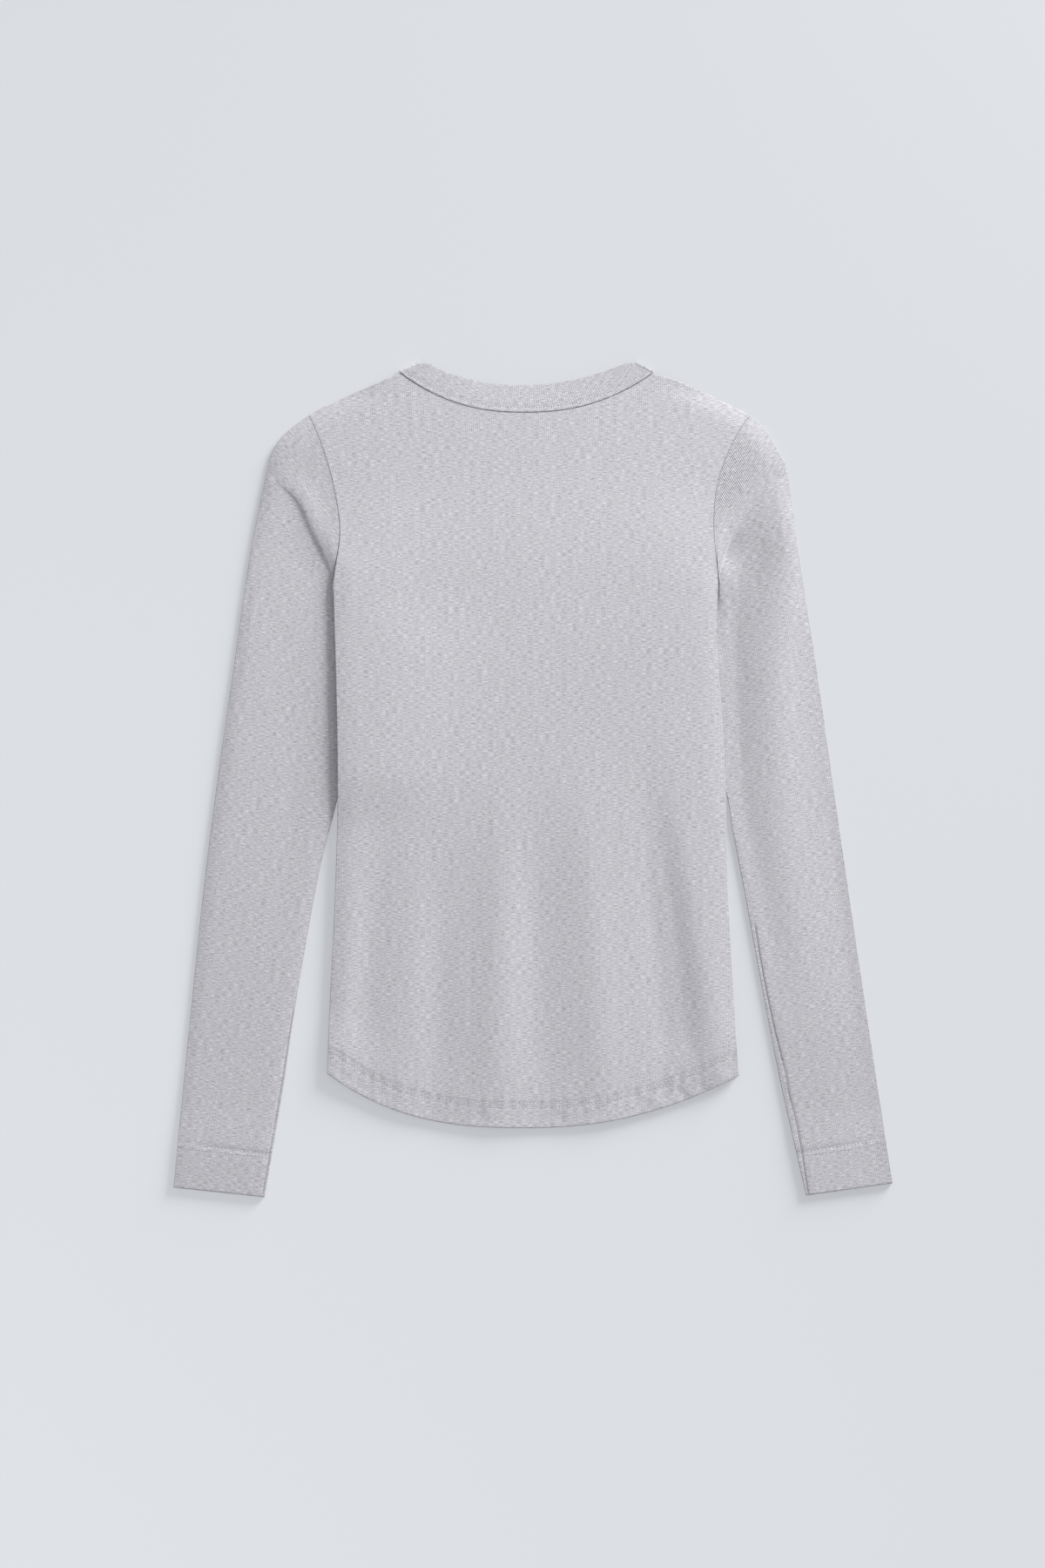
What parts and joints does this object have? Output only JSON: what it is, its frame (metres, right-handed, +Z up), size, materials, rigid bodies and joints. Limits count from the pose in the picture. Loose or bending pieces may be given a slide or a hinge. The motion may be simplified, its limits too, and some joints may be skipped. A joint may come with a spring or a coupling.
{
  "type": "long-sleeve t-shirt",
  "caption": "Slim long-sleeve crew-neck t-shirt in fine rib knit, laid flat on its front with both sleeves turned down beside the body and a curved hem.",
  "frame": {"origin": "bottom centre of the shirt's box, on the surface that the shirt lies on", "axes": "+X to the viewer's right, +Y from the hem towards the neck, +Z up from the surface. The shirt's back faces +Z"},
  "size_m": [0.6105, 0.7109, 0.0068],
  "materials": {
    "body_knit": "matte light grey heather, vertical fine rib",
    "sleeve_knit": "matte light grey heather, fine rib along the sleeve",
    "band_knit": "matte light grey heather, rib across the folded band"
  },
  "bodies": {
    "root": {"front_panel": "body_knit", "back_panel": "body_knit", "sleeve_left": "sleeve_knit", "sleeve_right": "sleeve_knit", "neckband": "band_knit"}
  },
  "joints": []
}
